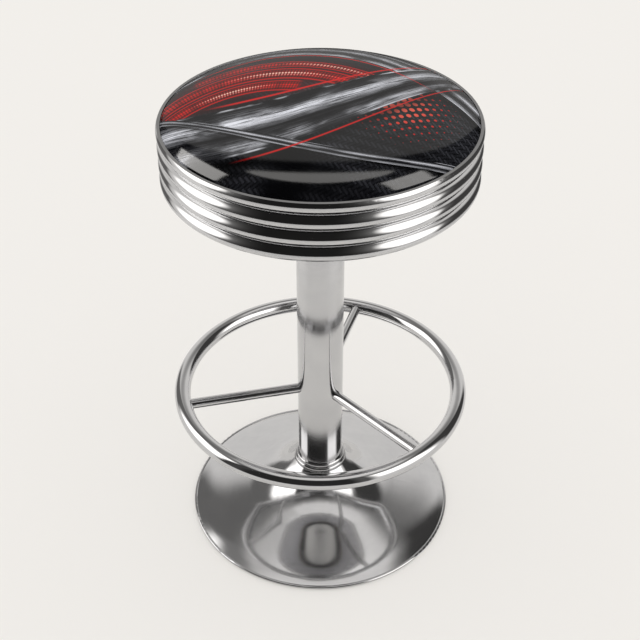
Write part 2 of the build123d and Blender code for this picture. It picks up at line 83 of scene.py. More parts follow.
# a bowed strip nearly overhead and an oval backdrop, in shares of their distance
REAR_STRIP_LEVEL = 2.6
REAR_STRIP_DEPTH = 0.186
REAR_STRIP_BOW = 0.78
REAR_STRIP_HALF = 0.43
REAR_STRIP_THICK = 0.063
REAR_STRIP_STEPS = 16
BACKDROP_HALF = 0.92
BACKDROP_MIDDLE = 1.25
BACKDROP_RISE = 1.53
BACKDROP_STEPS = 48
BACKDROP_LEVEL = 0.19
# height from and to, and the gain of level between them
BACKDROP_GAINS = ((-0.20, 0.10, 0.07), (0.20, 0.70, 0.12), (0.50, 1.60, 0.20))

# Room that the seat's ring mirrors
UPPER_ROOM_SIZE = 70.0
UPPER_SIDES = 0.84
UPPER_BACK_TURNS = (146.0, 158.0)
UPPER_BACK_LOSS = 0.50
UPPER_DARK = 0.006
UPPER_ROOF_RISES = (48.0, 60.0)
UPPER_FRONT_TURNS = (-84.0, 72.0)
UPPER_FRONT_SOFT = 8.0
# level, turn from and to, lean of the upper edge, and where that edge starts and ends
UPPER_GAPS = ((0.15, -152.0, -118.0, -1.0, 124.0, 134.0), (0.06, 84.0, 152.0, 0.7, 88.0, 104.0))
UPPER_GAP_SOFT = 4.0
# middle turn, half width, middle rise, half height
UPPER_SOFTBOXES = ((-87.0, 23.5, 11.0, 30.0), (62.0, 24.0, 16.0, 37.0))
UPPER_SOFTBOX_EDGE = (0.70, 1.20)
SOFTBOX_LEVEL = 2.3
SOFTBOX_GLOW = 0.40
SOFTBOX_GLOW_FALL = 3.4

# Room that all other pieces mirror
LOWER_ROOM_SIZE = 60.0
LOWER_SIDES = 0.88
LOWER_SIDES_LOSS = 0.62
LOWER_SIDES_RISES = (26.0, 49.0)
LOWER_BAND_TOP = (53.0, 60.0)
# level, turn from and to, softness
LOWER_GAPS = ((0.17, -147.0, -122.0, 4.0), (0.05, 94.0, 135.0, 5.0))
LOWER_GAP_FOOT = (-14.0, 0.0)
LOWER_FRONT = (0.02, -74.0, 36.0, 5.0)
LOWER_FRONT_FOOT = (-22.0, -10.0)
LOWER_SPILLS = ((0.11, -66.0, -56.0, 12.0), (0.16, 26.0, 34.0, 8.0))
LOWER_SOFTBOX_TURNS = ((-118.0, -72.0), (40.0, 87.0))
LOWER_SOFTBOX_SOFT = 4.0
LOWER_SOFTBOX_FOOT = (0.0, 10.0)
LOWER_SOFTBOX_TOP = (42.0, 52.0)
LOWER_ROOF = 0.92
LOWER_ROOF_RISES = (58.0, 66.0)
LOWER_ROOF_LOSS = (0.24, -152.0, -82.0, 12.0)
LOWER_ROOF_GAIN = 0.30
LOWER_ROOF_GAIN_RISES = (66.0, 78.0)
LOWER_ROOF_GAIN_TURNS = (70.0, 110.0)

# Cushion, as the part's source draws it
CROWN_CURVE = 0.426
TUCK_RADIUS = 0.007
TUCK_DRAW = 0.010
COVER_THICK = 0.0012
COVER_SIDE_INSET = 0.00302
COVER_HEM = 0.022

# Cushion's fullness beyond that, and the cloth that swells it
CROWN_FULLNESS = 0.0011
FULLNESS_POWER = 16
BULGE_OUT = 0.0006
CLOTH_FRAMES = 20
CLOTH_PRESSURE = 4.0
CLOTH_STIFFNESS = 30.0
CLOTH_BENDING = 2.0
CLOTH_CAP = 0.0008
# height above the tuck's centre from which the cover is free to move
LOOSE_ABOVE = TUCK_RADIUS * 0.5

# Cushion's mesh: rings on the crown, rows on the tuck, and where rows lie on the drawn-in side, side and hem
CUSHION_RINGS = 28
TUCK_ROWS = 8
DRAW_SHARES = (0.66, 0.33, 0.0)
SIDE_SHARES = (0.25, 0.5, 0.75, 0.93, 1.0)
HEM_SHARES = (0.08, 0.5, 1.0)

# Metal finishes
CHROME_DARK = (0.555, 0.556, 0.565)
CHROME_LIGHT = (0.60, 0.60, 0.605)
POLISH_MARKS = 0.0000004
SPIN_ALONG = 1.5
SPIN_ACROSS = 900.0
DRAWN_LINES = 35.0
DRAWN_ALONG = 6.0
TONE_SPAN = (0.3, 0.7)
HAZE_SPAN = (0.25, 0.75)
MARKS_IN_TONE = 0.3
MARKS_IN_HAZE = 0.4
PATCH_SCALE = 0.08
PATCHES_IN_TONE = 0.5

# Wood and foam
VENEER_STRETCH = (3.0, 9.0, 3.0)
VENEER_BANDS = 70.0
PORE_STRETCH = (25.0, 600.0, 25.0)
PLY_PITCH = 0.0036
FIGURE_SHARE = 0.35
PORE_SHARE = 0.45
PLY_SHARE = 0.2
WOOD_SPAN = (0.2, 0.8)
FOAM_CELLS = 900.0
CELLS_IN_TONE = 0.4

# Print on the seat, in shares of its radius: u to the right, v to the back
PRINT_REACH = 0.193
VINYL_ROUGH = (0.045, 0.07)
VINYL_IOR = 1.5
LEATHER_DEPTH = 0.00001

# Charcoal weave
WEAVE_TOWS = 40.0
WEAVE_TURN = 0.6
WEAVE_REPEAT = 4.0
WEAVE_STEP = (1.4, 1.6)
TOW_WIDTH = 0.38
WEFT_SHARE = 0.45
SHEEN_SPAN = (0.34, 0.66)
WEAVE_DARK = (0.0015, 0.0015, 0.0020)
WEAVE_LIGHT = (0.040, 0.041, 0.048)

# Red dots
HALFTONE_DOTS = 17.0
HALFTONE_LEAN = 0.5
HALFTONE_CENTRE = (0.46, -0.16)
HALFTONE_REACH = 0.44
HALFTONE_END = (1.0, 0.92)
DOT_SIZE = 0.46
DOT_EDGE = (-0.05, 0.03)
HOT_SPAN = (0.05, 0.75)
HALFTONE_HOT = (1.0, 0.16, 0.10)
HALFTONE_COOL = (0.46, 0.005, 0.004)

# Red arches: widths and places across are in shares of an arch's half thickness, sweeps in degrees
ARCH_HUB = (-0.42, -1.12)
# radius, half thickness, sweep from and to, place of the hot core
RED_ARCHES = (
    (1.105, 0.066, -30.0, 15.0, -6.0),
    (1.275, 0.080, -27.0, 28.0, 8.0),
    (1.435, 0.050, -15.0, 33.0, 20.0),
)
ARCH_END_SOFT = 1.2
ARCH_RIBS = 7.0
RIB_MIDDLE = 0.65
RIB_SWING = 0.35
ARCH_ROWS = 14.0
ROW_MIDDLE = 0.70
ROW_SWING = 0.30
FLICKER_STRETCH = (0.12, 9.0)
FLICKER_SPAN = (0.25, 0.60)
FLICKER_LEVELS = (0.35, 1.0)
HALO_FALL = 0.9
HALO_SHARE = 0.40
HALO_PAST_END = 3.0
HALO_SOFT = 8.0
BED_SOFT = 0.06
OUTLINE_PLACE = 0.90
OUTLINE_WIDTH = 0.09
GLOW_WIDTH = 0.52
CORE_WIDTH = 0.40
CORE_LENGTH = 0.30
CORE_SPAN = (0.22, 0.80)
ARCH_HALO = (0.16, 0.002, 0.002)
ARCH_BED = (0.030, 0.001, 0.001)
ARCH_OUTLINE = (0.62, 0.006, 0.004)
ARCH_GLOW = (0.95, 0.010, 0.006)
ARCH_CORE = (1.0, 0.66, 0.52)

# Silver ribbons: widths and places across are in shares of a ribbon's half width
# bend, slope, rise, half width, place of the main ridge, share of light
SILVER_RIBBONS = (
    (-0.42, -0.22, 0.66, 0.170, 0.15, 0.90),
    (0.50, 0.52, -0.30, 0.220, 0.25, 1.00),
    (0.34, -0.24, -0.66, 0.030, 0.20, 0.80),
)
BRUSH_STRETCH = (2.2, 13.0)
BRUSH_SHIFT = 7.0
BRUSH_SPAN = (0.36, 0.62)
SPECKLE_LEVELS = (0.60, 1.70)
CLOUD_STRETCH = (2.0, 0.9)
CLOUD_SPAN = (0.34, 0.58)
CLOUD_LEVELS = (0.1, 1.0)
RIBBON_REST = 0.03
RIDGE_WIDTH = 0.26
SECOND_RIDGE_STEP = 0.98
SECOND_RIDGE_WIDTH = 0.16
SECOND_RIDGE_SHARE = 0.7
CREASE_STEP = 0.50
CREASE_WIDTH = 0.07
CREASE_DEPTH = 0.95
UPPER_EDGE_PLACE = 0.94
UPPER_EDGE_WIDTH = 0.035
LOWER_EDGE_PLACE = -0.95
LOWER_EDGE_WIDTH = 0.03
LOWER_EDGE_SHARE = 0.7
EDGE_SPAN = (0.40, 0.56)
RIBBON_SOFT = 0.025
SHADOW_PLACE = -1.25
SHADOW_WIDTH = 0.35
SHADOW_SHARE = 0.8
RIBBON_DARK = (0.002, 0.002, 0.003)
RIBBON_BRIGHT = (0.86, 0.87, 0.93)
RIBBON_SHADOW = (0.001, 0.001, 0.001)

# Pinstripes: bend, slope, rise, width, from and to, colour
PINSTRIPES = (
    (0.50, 0.52, -0.035, 0.009, -0.60, 0.85, (0.72, 0.010, 0.008)),
    (0.50, 0.52, -0.560, 0.006, -0.40, 0.90, (0.62, 0.010, 0.008)),
    (-0.42, -0.22, 0.460, 0.007, -0.75, 0.62, (0.70, 0.012, 0.010)),
)
PINSTRIPE_SOFT = 0.14

# Colour sockets of a Mix node, by number because its sockets of all types share the same names
MIX_FACTOR = 0
MIX_COLOURS = (6, 7)
MIX_RESULT = 2


class Field:
    """A number that varies over a surface: one socket of a node graph, with arithmetic."""

    def __init__(self, graph, socket):
        self.graph = graph
        self.socket = socket

    def __add__(self, other):
        return self.graph.math("ADD", self, other)

    def __radd__(self, other):
        return self.graph.math("ADD", other, self)

    def __sub__(self, other):
        return self.graph.math("SUBTRACT", self, other)

    def __rsub__(self, other):
        return self.graph.math("SUBTRACT", other, self)

    def __mul__(self, other):
        return self.graph.math("MULTIPLY", self, other)

    def __truediv__(self, other):
        return self.graph.math("DIVIDE", self, other)

    def __pow__(self, other):
        return self.graph.math("POWER", self, other)

    def __neg__(self):
        return self.graph.math("MULTIPLY", self, -1.0)

    def spread(self, span):
        """The field, from 0 to 1, laid out between two values."""
        low, high = span
        return self * (high - low) + low


class Graph:
    """Builds the nodes of one material or world."""

    def __init__(self, owner):
        owner.use_nodes = True
        self.tree = owner.node_tree
        self.tree.nodes.clear()

    def feed(self, socket, value):
        """Links a field or socket to an input, or writes a plain value on it."""
        if isinstance(value, Field):
            value = value.socket
        if isinstance(value, bpy.types.NodeSocket):
            self.tree.links.new(value, socket)
        else:
            socket.default_value = value

    def node(self, kind, sockets=None, **settings):
        made = self.tree.nodes.new("ShaderNode" + kind)
        for key, value in settings.items():
            setattr(made, key, value)
        for key, value in (sockets or {}).items():
            self.feed(made.inputs[key], value)
        return made

    def math(self, operation, *values):
        made = self.node("Math", operation=operation)
        for socket, value in zip(made.inputs, values):
            self.feed(socket, value)
        return Field(self, made.outputs[0])

    def point(self, kind="Object"):
        """The point's coordinates in one piece: in the part's own frame, or the direction in a world."""
        return self.node("TexCoord").outputs[kind]

    def place(self, kind="Object"):
        """X, Y and Z of the point, as fields."""
        split = self.node("SeparateXYZ", {"Vector": self.point(kind)})
        return [Field(self, socket) for socket in split.outputs]

    def vector(self, x, y, z):
        return self.node("CombineXYZ", {"X": x, "Y": y, "Z": z}).outputs[0]

    def stretched(self, stretch):
        """The point's coordinates, each times its own factor."""
        return self.vector(*(field * factor for field, factor in zip(self.place(), stretch)))

    def reach(self, x, y):
        """Distance from the middle in a plane."""
        return self.math("SQRT", x * x + y * y)

    def wave(self, value, middle, swing):
        """Sine that swings to both sides of a middle."""
        return self.math("SINE", value) * swing + middle

    def smooth(self, value, low, high):
        """0 at low, 1 at high, smooth between."""
        made = self.node(
            "MapRange",
            {"Value": value, "From Min": low, "From Max": high},
            interpolation_type="SMOOTHSTEP",
        )
        return Field(self, made.outputs[0])

    def window(self, value, low, high, soft):
        """1 between low and high, 0 outside, with soft edges."""
        past_low = self.smooth(value, low - soft, low + soft)
        past_high = self.smooth(value, high - soft, high + soft)
        return past_low * (1.0 - past_high)

    def bell(self, value, centre, width):
        """Soft peak of 1 at a centre."""
        return self.math("EXPONENT", -((value - centre) / width) ** 2.0)

    def over(self, under, level, mask):
        """One field laid over another where a mask is 1."""
        return under + mask * (level - under)

    def noise(self, vector, scale, detail, roughness, distortion=0.0):
        made = self.node(
            "TexNoise",
            {
                "Vector": vector,
                "Scale": scale,
                "Detail": detail,
                "Roughness": roughness,
                "Distortion": distortion,
            },
        )
        return Field(self, made.outputs["Fac"])

    def tint(self, factor, colour_a, colour_b):
        """Colour between two colours."""
        made = self.node("Mix", data_type="RGBA")
        self.feed(made.inputs[MIX_FACTOR], factor)
        for number, colour in zip(MIX_COLOURS, (colour_a, colour_b)):
            self.feed(made.inputs[number], (*colour, 1.0) if isinstance(colour, tuple) else colour)
        return made.outputs[MIX_RESULT]

    def bump(self, height, distance):
        return self.node("Bump", {"Height": height, "Distance": distance, "Strength": 1.0}).outputs["Normal"]

    def surface(self, sockets):
        """Principled surface to the material's output."""
        shader = self.node("BsdfPrincipled", sockets)
        self.node("OutputMaterial", {"Surface": shader.outputs[0]})


def mixed(first, second, share):
    """Two fields added, the second by its share and the first by what is left."""
    return first * (1.0 - share) + second * share


def bearing(graph, x, y, z):
    """Turn and rise of the direction from the origin to a point."""
    turn = graph.math("ARCTAN2", x, -y) * DEGREES
    rise = graph.math("ARCTAN2", z, graph.reach(x, y)) * DEGREES
    return turn, rise


def spun_metal(name, dark, light, rough, mark_depth):
    """Metal with faint marks round the axis, cloudy polish and slight changes of tone."""
    material = bpy.data.materials.new(name)
    graph = Graph(material)
    x, y, z = graph.place()
    angle = graph.math("ARCTAN2", y, x)
    turned = graph.vector(graph.reach(x, y) * SPIN_ACROSS, angle * SPIN_ALONG, z * SPIN_ACROSS)
    marks = graph.noise(turned, scale=1.0, detail=3.0, roughness=0.6)
    clouds = graph.noise(graph.point(), scale=26.0, detail=4.0, roughness=0.6)
    tone = graph.smooth(mixed(clouds, marks, MARKS_IN_TONE), *TONE_SPAN)
    haze = graph.smooth(mixed(clouds, marks, MARKS_IN_HAZE), *HAZE_SPAN)
    graph.surface({
        "Base Color": graph.tint(tone, dark, light),
        "Metallic": 1.0,
        "Roughness": haze.spread(rough),
        "Normal": graph.bump(marks, mark_depth),
    })
    return material


def drawn_metal(name, dark, light, rough, mark_depth):
    """Metal with faint drawing lines along the upright axis."""
    material = bpy.data.materials.new(name)
    graph = Graph(material)
    x, y, z = graph.place()
    angle = graph.math("ARCTAN2", y, x)
    drawn = graph.vector(angle * DRAWN_LINES, z * DRAWN_ALONG, 0.0)
    marks = graph.noise(drawn, scale=1.0, detail=3.0, roughness=0.6)
    clouds = graph.noise(graph.point(), scale=22.0, detail=4.0, roughness=0.6)
    haze = graph.smooth(mixed(clouds, marks, MARKS_IN_HAZE), *HAZE_SPAN)
    graph.surface({
        "Base Color": graph.tint(graph.smooth(clouds, *TONE_SPAN), dark, light),
        "Metallic": 1.0,
        "Roughness": haze.spread(rough),
        "Normal": graph.bump(marks, mark_depth),
    })
    return material


def grained(name, dark, light, scale, rough, depth, metallic=0.0):
    """Coated, cast, moulded or plated finish: mottled tone, uneven sheen and a fine raised grain."""
    material = bpy.data.materials.new(name)
    graph = Graph(material)
    grain = graph.noise(graph.point(), scale, detail=5.0, roughness=0.6)
    patches = graph.noise(graph.point(), scale * PATCH_SCALE, detail=3.0, roughness=0.5)
    tone = graph.smooth(mixed(grain, patches, PATCHES_IN_TONE), *TONE_SPAN)
    graph.surface({
        "Base Color": graph.tint(tone, dark, light),
        "Metallic": metallic,
        "Roughness": graph.smooth(patches, *TONE_SPAN).spread(rough),
        "Normal": graph.bump(grain, depth),
    })
    return material


def plywood(name, dark, light, rough, pore_depth):
    """Rotary-cut veneer on the faces and stacked plies on the edge."""
    material = bpy.data.materials.new(name)
    graph = Graph(material)
    height = graph.place()[2]
    warp = graph.noise(graph.stretched(VENEER_STRETCH), scale=2.0, detail=3.0, roughness=0.55)
    figure = graph.wave(warp * VENEER_BANDS, middle=0.5, swing=0.5)
    pores = graph.noise(graph.stretched(PORE_STRETCH), scale=1.0, detail=3.0, roughness=0.7)
    plies = graph.wave(height * (2.0 * math.pi / PLY_PITCH), middle=0.5, swing=0.5)
    tone = graph.smooth(figure * FIGURE_SHARE + pores * PORE_SHARE + plies * PLY_SHARE, *WOOD_SPAN)
    graph.surface({
        "Base Color": graph.tint(tone, dark, light),
        "Roughness": pores.spread(rough),
        "Normal": graph.bump(pores, pore_depth),
    })
    return material


def foam(name, dark, light, rough, pore_depth):
    """Open foam with pores."""
    material = bpy.data.materials.new(name)
    graph = Graph(material)
    voronoi = graph.node("TexVoronoi", {"Vector": graph.point(), "Scale": FOAM_CELLS})
    cells = Field(graph, voronoi.outputs["Distance"])
    patches = graph.noise(graph.point(), scale=30.0, detail=3.0, roughness=0.6)
    graph.surface({
        "Base Color": graph.tint(mixed(patches, cells, CELLS_IN_TONE), dark, light),
        "Roughness": patches.spread(rough),
        "Normal": graph.bump(cells, pore_depth),
    })
    return material


def carbon_weave(graph, u, v):
    """Faint twill of charcoal tows with a slow change of sheen."""
    along = (u * math.cos(WEAVE_TURN) + v * math.sin(WEAVE_TURN)) * WEAVE_TOWS
    across = (v * math.cos(WEAVE_TURN) - u * math.sin(WEAVE_TURN)) * WEAVE_TOWS
    step = graph.math("FLOOR", along) + graph.math("FLOOR", across)
    on_top = graph.smooth(graph.math("FLOORED_MODULO", step, WEAVE_REPEAT), *WEAVE_STEP)
    warp = graph.bell(graph.math("FRACT", along), 0.5, TOW_WIDTH)
    weft = graph.bell(graph.math("FRACT", across), 0.5, TOW_WIDTH) * WEFT_SHARE
    sheen = graph.noise(graph.vector(u, v, 0.0), scale=1.5, detail=3.0, roughness=0.5)
    shade = graph.over(warp, weft, on_top) * graph.smooth(sheen, *SHEEN_SPAN)
    return graph.tint(shade, WEAVE_DARK, WEAVE_LIGHT)


def halftone(graph, u, v, under):
    """Red dots in rows that shrink away from one centre."""
    right = u - HALFTONE_CENTRE[0]
    back = v - HALFTONE_CENTRE[1]
    away = graph.reach(right, back) / HALFTONE_REACH
    across = graph.math("FRACT", (u + v * HALFTONE_LEAN) * HALFTONE_DOTS) - 0.5
    upright = graph.math("FRACT", (v - u * HALFTONE_LEAN) * HALFTONE_DOTS) - 0.5
    size = (1.0 - away) * DOT_SIZE
    dot = 1.0 - graph.smooth(graph.reach(across, upright) - size, *DOT_EDGE)
    heat = graph.tint(graph.smooth(away, *HOT_SPAN), HALFTONE_HOT, HALFTONE_COOL)
    return graph.tint(dot * graph.smooth(away, *HALFTONE_END), under, heat)


def red_arches(graph, u, v, under):
    """Arched channels of red light round one hub: halo, dark bed, bright outline, glow and hot core."""
    right = u - ARCH_HUB[0]
    back = v - ARCH_HUB[1]
    reach = graph.reach(right, back)
    sweep = graph.math("ARCTAN2", right, back) * DEGREES
    painted = under
    for radius, half, start, end, focus in RED_ARCHES:
        across = (reach - radius) / half
        off = graph.math("ABSOLUTE", across)
        span = graph.window(sweep, start, end, ARCH_END_SOFT)
        ribs = graph.wave(sweep * ARCH_RIBS, RIB_MIDDLE, RIB_SWING)
        rows = graph.wave(across * ARCH_ROWS, ROW_MIDDLE, ROW_SWING)
        stretched = graph.vector(sweep * FLICKER_STRETCH[0], radius * FLICKER_STRETCH[1], 0.0)
        flicker = graph.noise(stretched, scale=1.6, detail=3.0, roughness=0.6)
        lively = graph.smooth(flicker, *FLICKER_SPAN).spread(FLICKER_LEVELS)
        halo_span = graph.window(sweep, start - HALO_PAST_END, end + HALO_PAST_END, HALO_SOFT)
        halo = graph.math("EXPONENT", -off * HALO_FALL) * halo_span * HALO_SHARE
        bed = graph.window(across, -1.0, 1.0, BED_SOFT) * span
        outline = graph.bell(off, OUTLINE_PLACE, OUTLINE_WIDTH) * span
        glow = graph.bell(across, 0.0, GLOW_WIDTH) * span * lively * rows * ribs
        core_span = graph.bell(sweep, focus, (end - start) * CORE_LENGTH) * span
        core = graph.bell(across, 0.0, CORE_WIDTH) * core_span * ribs * rows
        painted = graph.tint(halo, painted, ARCH_HALO)
        painted = graph.tint(bed, painted, ARCH_BED)
        painted = graph.tint(outline, painted, ARCH_OUTLINE)
        painted = graph.tint(glow, painted, ARCH_GLOW)
        painted = graph.tint(graph.smooth(core, *CORE_SPAN), painted, ARCH_CORE)
    return painted


def silver_ribbons(graph, u, v, under):
    """Brushed silver sheets that sweep across the seat, with ridges of light, creases and bright edges."""
    painted = under
    for bend, slope, rise, half, ridge, share in SILVER_RIBBONS:
        across = (v - (u * u * bend + u * slope + rise)) / half
        combed = graph.vector(u * BRUSH_STRETCH[0] + rise * BRUSH_SHIFT, across * BRUSH_STRETCH[1], rise)
        brush = graph.noise(combed, scale=2.0, detail=7.0, roughness=0.74, distortion=0.20)
        drift = graph.vector(u * CLOUD_STRETCH[0] - rise, across * CLOUD_STRETCH[1], rise)
        clouds = graph.noise(drift, scale=1.7, detail=3.0, roughness=0.5)
        speckle = graph.noise(graph.vector(u, v, 0.0), scale=260.0, detail=2.0, roughness=0.7)
        second = graph.bell(across, ridge - SECOND_RIDGE_STEP, SECOND_RIDGE_WIDTH) * SECOND_RIDGE_SHARE
        light = graph.bell(across, ridge, RIDGE_WIDTH) + second + RIBBON_REST
        crease = 1.0 - graph.bell(across, ridge - CREASE_STEP, CREASE_WIDTH) * CREASE_DEPTH
        lower_edge = graph.bell(across, LOWER_EDGE_PLACE, LOWER_EDGE_WIDTH) * LOWER_EDGE_SHARE
        edge = graph.bell(across, UPPER_EDGE_PLACE, UPPER_EDGE_WIDTH) + lower_edge
        grain = graph.smooth(brush, *BRUSH_SPAN) * speckle.spread(SPECKLE_LEVELS)
        shade = light * crease * grain * graph.smooth(clouds, *CLOUD_SPAN).spread(CLOUD_LEVELS)
        shade = shade + edge * graph.smooth(clouds, *EDGE_SPAN)
        tone = graph.tint(graph.math("MINIMUM", shade * share, 1.0), RIBBON_DARK, RIBBON_BRIGHT)
        shadow = graph.bell(across, SHADOW_PLACE, SHADOW_WIDTH) * SHADOW_SHARE
        body = graph.window(across, -1.0, 1.0, RIBBON_SOFT)
        painted = graph.tint(body, graph.tint(shadow, painted, RIBBON_SHADOW), tone)
    return painted


def pinstripes(graph, u, v, under):
    """Thin bowed lines that fade out at their ends."""
    painted = under
    for bend, slope, rise, width, start, end, colour in PINSTRIPES:
        across = v - (u * u * bend + u * slope + rise)
        line = graph.bell(across, 0.0, width) * graph.window(u, start, end, PINSTRIPE_SOFT)
        painted = graph.tint(line, painted, colour)
    return painted


def printed_vinyl():
    """Glossy vinyl with an abstract print: charcoal weave, red dots, arches, silver ribbons, pinstripes."""
    material = bpy.data.materials.new("printed_vinyl")
    graph = Graph(material)
    x, y, _ = graph.place()
    u = x / PRINT_REACH
    v = y / PRINT_REACH
    painted = carbon_weave(graph, u, v)
    for layer in (halftone, red_arches, silver_ribbons, pinstripes):
        painted = layer(graph, u, v, painted)
    leather = graph.noise(graph.point(), scale=1400.0, detail=2.0, roughness=0.5)
    smears = graph.noise(graph.vector(u, v, 0.0), scale=3.5, detail=4.0, roughness=0.6)
    graph.surface({
        "Base Color": painted,
        "Roughness": graph.smooth(smears, *TONE_SPAN).spread(VINYL_ROUGH),
        "IOR": VINYL_IOR,
        "Normal": graph.bump(leather, LEATHER_DEPTH),
    })
    return material


def dress(material, *nodes):
    """Gives CAD nodes a material in all their slots."""
    for name in nodes:
        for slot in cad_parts[name].material_slots:
            slot.material = material


def new_object(name, points, faces):
    """Mesh object in the scene."""
    mesh = bpy.data.meshes.new(name)
    mesh.from_pydata(points, [], faces)
    made = bpy.data.objects.new(name, mesh)
    bpy.context.scene.collection.objects.link(made)
    return made


def disc_grid(rings):
    """Quads over a round disc without a pole: a square grid whose square rings become circles.

    Returns each point's ring and angle, the quads, and the outermost ring's points in order.
    """
    size = 2 * rings + 1
    places = []
    for row in range(-rings, rings + 1):
        for column in range(-rings, rings + 1):
            ring = max(abs(row), abs(column))
            if ring == 0:
                places.append((0, 0.0))
                continue
            if column == ring and row < ring:
                step = row + ring
            elif row == ring and column > -ring:
                step = 3 * ring - column
            elif column == -ring and row > -ring:
                step = 5 * ring - row
            else:
                step = 7 * ring + column
            places.append((ring, 2.0 * math.pi * step / (8 * ring)))
    quads = [
        (i * size + j, i * size + j + 1, (i + 1) * size + j + 1, (i + 1) * size + j)
        for i in range(size - 1)
        for j in range(size - 1)
    ]
    rim = [index for index, place in enumerate(places) if place[0] == rings]
    rim.sort(key=lambda index: places[index][1])
    return places, quads, rim


def cushion_profile():
    """Height of the crown's centre, tilt and level of the tuck, and the cover's side as (radius, height)."""
    low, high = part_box("seat_cover")
    bulge = high.x + BULGE_OUT
    tuck_centre = bulge - TUCK_RADIUS
    tilt = math.asin(tuck_centre / (CROWN_CURVE - TUCK_RADIUS))
    crown_centre = high.z - CROWN_CURVE
    tuck_level = crown_centre + (CROWN_CURVE - TUCK_RADIUS) * math.cos(tilt)
    side = high.x - COVER_SIDE_INSET
    outline = []
    for turn in np.linspace(tilt, math.pi / 2, TUCK_ROWS)[1:]:
        radius = tuck_centre + TUCK_RADIUS * math.sin(turn)
        outline.append((radius, tuck_level + TUCK_RADIUS * math.cos(turn)))
    waist = tuck_level - TUCK_DRAW
    outline += [(side + (bulge - side) * share, waist + TUCK_DRAW * share) for share in DRAW_SHARES]
    outline += [(side, waist + (low.z - waist) * share) for share in SIDE_SHARES]
    outline += [(side - COVER_HEM * share, low.z) for share in HEM_SHARES]
    return crown_centre, tilt, tuck_level, outline


def fill_with_foam(shell, loose, rings):
    """Swells the crown with simulated cloth under pressure, held at its side, by a capped amount.

    The movement is evened out round each ring, because the stretched vinyl has no ripples.
    """
    start = np.array([vertex.co for vertex in shell.data.vertices])
    held = shell.vertex_groups.new(name="held")
    held.add([i for i, free in enumerate(loose) if not free], 1.0, "REPLACE")
    cloth = shell.modifiers.new("fill", "CLOTH")
    cloth.settings.use_pressure = True
    cloth.settings.uniform_pressure_force = CLOTH_PRESSURE
    cloth.settings.vertex_group_mass = held.name
    cloth.settings.effector_weights.gravity = 0.0
    cloth.settings.tension_stiffness = CLOTH_STIFFNESS
    cloth.settings.compression_stiffness = CLOTH_STIFFNESS
    cloth.settings.bending_stiffness = CLOTH_BENDING
    scene = bpy.context.scene
    for number in range(1, CLOTH_FRAMES + 1):
        scene.frame_set(number)
    shaped = shell.evaluated_get(bpy.context.evaluated_depsgraph_get())
    end = np.array([vertex.co for vertex in shaped.data.vertices])
    shell.modifiers.remove(cloth)
    shell.vertex_groups.remove(held)
    scene.frame_set(1)
    tiny = 1e-9
    move = end - start
    length = np.linalg.norm(move, axis=1, keepdims=True)
    move *= np.minimum(1.0, CLOTH_CAP / np.maximum(length, tiny))
    radius = np.hypot(start[:, 0], start[:, 1])
    outward = start[:, :2] / np.maximum(radius, tiny)[:, None]
    spread = np.sum(move[:, :2] * outward, axis=1)
    count = np.bincount(rings)
    even_spread = np.bincount(rings, spread) / count
    even_lift = np.bincount(rings, move[:, 2]) / count
    move = np.column_stack([outward * even_spread[rings][:, None], even_lift[rings]])
    shell.data.vertices.foreach_set("co", (start + move).astype(np.float32).ravel())
    shell.data.update()


def make_cushion():
    """Domed cover drawn in behind the ring's lip and hemmed under the board."""
    crown_centre, tilt, tuck_level, outline = cushion_profile()
    places, faces, rim = disc_grid(CUSHION_RINGS)
    points = []
    for ring, angle in places:
        share = ring / CUSHION_RINGS
        lean = tilt * share
        crown = CROWN_CURVE + CROWN_FULLNESS * (1.0 - share ** FULLNESS_POWER)
        radius = crown * math.sin(lean)
        height = crown_centre + crown * math.cos(lean)
        points.append((radius * math.cos(angle), radius * math.sin(angle), height))
    angles = [places[index][1] for index in rim]
    rings = [place[0] for place in places]
    for radius, height in outline:
        rings += [rings[-1] + 1] * len(rim)
        ring = list(range(len(points), len(points) + len(rim)))
        points += [(radius * math.cos(angle), radius * math.sin(angle), height) for angle in angles]
        for k in range(len(rim)):
            after = (k + 1) % len(rim)
            faces.append((rim[k], ring[k], ring[after], rim[after]))
        rim = ring
    cover = new_object("cushion_cover", points, faces)
    cover.data.update()
    loose = [point[2] > tuck_level + LOOSE_ABOVE for point in points]
    fill_with_foam(cover, loose, np.array(rings))
    thickness = cover.modifiers.new("thickness", "SOLIDIFY")
    thickness.thickness = COVER_THICK
    thickness.offset = -1.0
    rounding = cover.modifiers.new("rounding", "SUBSURF")
    rounding.levels = 1
    rounding.render_levels = 1
    for polygon in cover.data.polygons:
        polygon.use_smooth = True
    cover.data.materials.append(printed_vinyl())
    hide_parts("seat_cover")
    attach(cover, "seat")
    return cover


def make_camera():
    """Camera at the place from which the photograph was taken."""
    data = bpy.data.cameras.new("photo_camera")
    data.sensor_width = SENSOR_WIDTH
    data.lens = CAMERA_FOCUS / FRAME_WIDTH * SENSOR_WIDTH
    data.shift_x = -AXIS_SHIFT / FRAME_WIDTH
    camera = bpy.data.objects.new("photo_camera", data)
    camera.location = CAMERA_PLACE
    camera.rotation_euler = (math.radians(90.0 - CAMERA_FALL), 0.0, 0.0)
    bpy.context.scene.collection.objects.link(camera)
    bpy.context.scene.camera = camera


